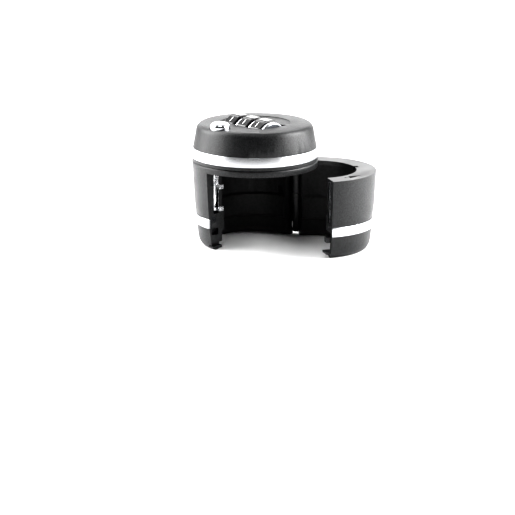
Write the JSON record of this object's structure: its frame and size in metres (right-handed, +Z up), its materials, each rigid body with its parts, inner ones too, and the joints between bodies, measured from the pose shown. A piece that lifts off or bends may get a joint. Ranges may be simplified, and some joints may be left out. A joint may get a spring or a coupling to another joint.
{
  "type": "bottle neck combination lock",
  "caption": "Round combination lock that closes round a bottle neck with a hinged half shell, number wheels and a chrome release button on top.",
  "frame": {"origin": "on the bottle axis, at the lower edge of the grip collar that closes round the neck under its bead", "axes": "+Z up along the bottle axis towards the button and wheels, +Y towards the hinge, -Y towards the catch, +X towards the side where the shut door lies"},
  "size_m": [0.0646, 0.0578, 0.047],
  "materials": {
    "charcoal_plastic": "fine moulded texture",
    "inner_plastic": "plain moulded",
    "wheel_black": "semi-gloss",
    "black_rubber": "matte",
    "satin_silver": "satin",
    "steel": "bright stamped",
    "dark_steel": "dark zinc",
    "chrome": "polished"
  },
  "bodies": {
    "body": {"top_cover": "charcoal_plastic", "cap_band": "satin_silver", "chassis": "charcoal_plastic", "neck_pad": "black_rubber", "body_shell": "charcoal_plastic", "body_liner": "inner_plastic", "body_band": "satin_silver", "hinge_pin": "steel", "face_screw": "dark_steel", "cover_screws": "steel", "shell_screws": "steel", "body_liner_screws": "steel", "detent_spring": "steel", "spindle_spring": "steel", "latch_spring": "steel"},
    "door": {"door_shell": "charcoal_plastic", "door_liner": "inner_plastic", "door_band": "satin_silver", "catch_plate": "steel", "catch_rivets": "steel", "door_liner_screws": "steel"},
    "latch": {"latch_plate": "steel"},
    "button": {"release_button": "chrome", "button_stem": "inner_plastic"},
    "dial_1": {"number_wheel_1": "wheel_black", "code_hub_1": "satin_silver"},
    "dial_2": {"number_wheel_2": "wheel_black", "code_hub_2": "satin_silver"},
    "dial_3": {"number_wheel_3": "wheel_black", "code_hub_3": "satin_silver"},
    "slider": {"spindle": "steel", "cam_slider": "dark_steel"}
  },
  "joints": [
    {"name": "door_swing", "type": "hinge", "parent": "body", "child": "door", "pos_m": [0, 0.0207, 0], "axis": [0, 0, 1], "range_deg": [-65, 15]},
    {"name": "button_slide", "type": "slide", "parent": "body", "child": "button", "axis": [0, 0, 1], "range_m": [0, 0.0016]},
    {"name": "latch_slide", "type": "slide", "parent": "body", "child": "latch", "axis": [0, 0, 1], "range_m": [0, 0.0016], "deforming": ["latch_spring"]},
    {"name": "spindle_slide", "type": "slide", "parent": "body", "child": "slider", "axis": [1, 0, 0], "range_m": [0, 0.0016]},
    {"name": "dial_1_turn", "type": "hinge", "parent": "body", "child": "dial_1", "pos_m": [0, -0.0003, 0.0327], "axis": [1, 0, 0], "continuous": true},
    {"name": "dial_2_turn", "type": "hinge", "parent": "body", "child": "dial_2", "pos_m": [0, -0.0003, 0.0327], "axis": [1, 0, 0], "continuous": true},
    {"name": "dial_3_turn", "type": "hinge", "parent": "body", "child": "dial_3", "pos_m": [0, -0.0003, 0.0327], "axis": [1, 0, 0], "continuous": true}
  ],
  "couplings": [
    {"joint": "latch_slide", "follows": "button_slide", "ratio": 1},
    {"joint": "spindle_slide", "follows": "button_slide", "ratio": 1}
  ]
}
